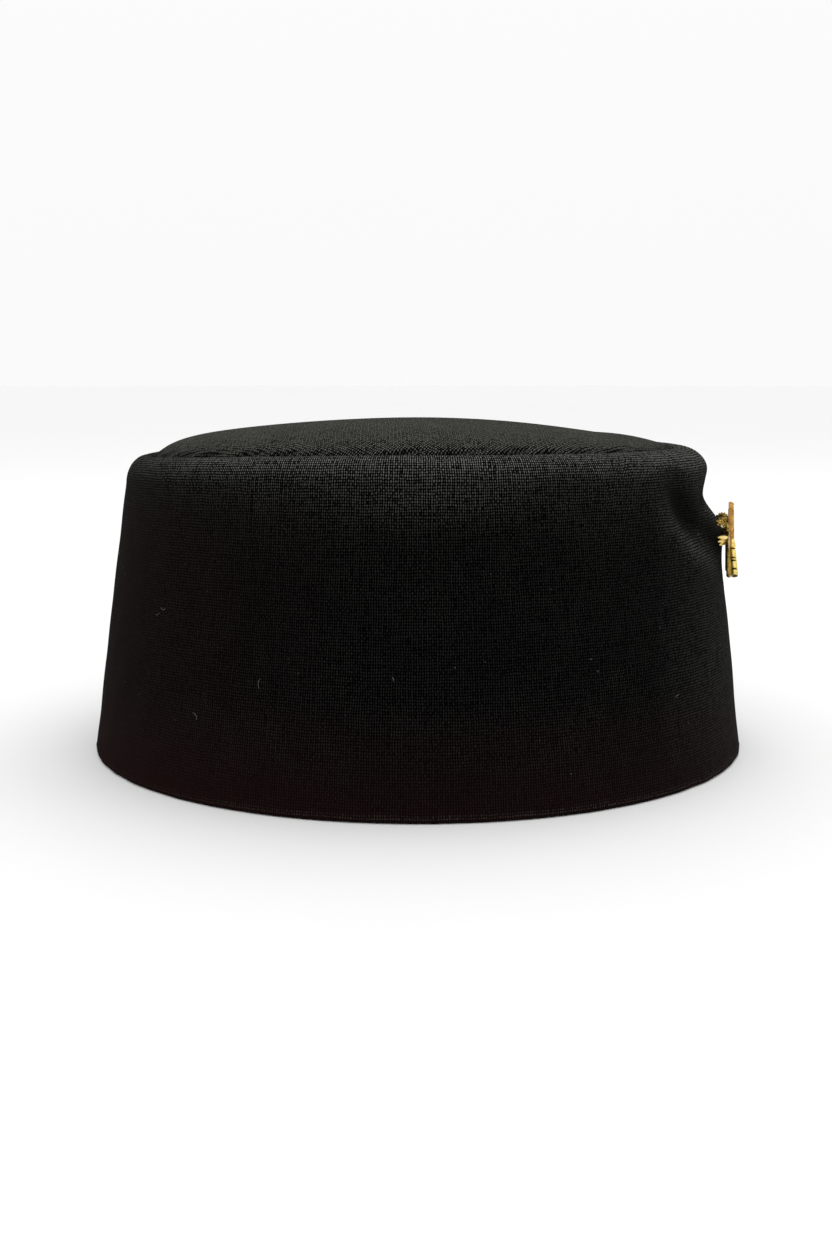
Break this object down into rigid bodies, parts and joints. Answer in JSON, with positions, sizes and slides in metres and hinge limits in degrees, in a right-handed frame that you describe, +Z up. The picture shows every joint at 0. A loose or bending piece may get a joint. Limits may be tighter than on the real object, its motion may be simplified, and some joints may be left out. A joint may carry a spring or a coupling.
{
  "type": "brimless cap",
  "caption": "Brimless oval topi of plain black cloth with a rolled top edge, a puffed crown panel and a gilt badge of crossed khukuris pinned at the front",
  "frame": {"origin": "Middle of the oval rim, on the surface that the cap stands on", "axes": "+X to the front, where the badge is, +Y to the wearer's left, +Z up"},
  "size_m": [0.196, 0.172, 0.0983],
  "materials": {
    "band_cloth": "matt plain weave",
    "crown_cloth": "matt plain weave",
    "gilt_badge": "bright gilt",
    "clutch_metal": "satin"
  },
  "bodies": {
    "root": {"side_band": "band_cloth", "crown_panel": "crown_cloth", "khukuri_badge": "gilt_badge", "pin_clutch": "clutch_metal"}
  },
  "joints": []
}
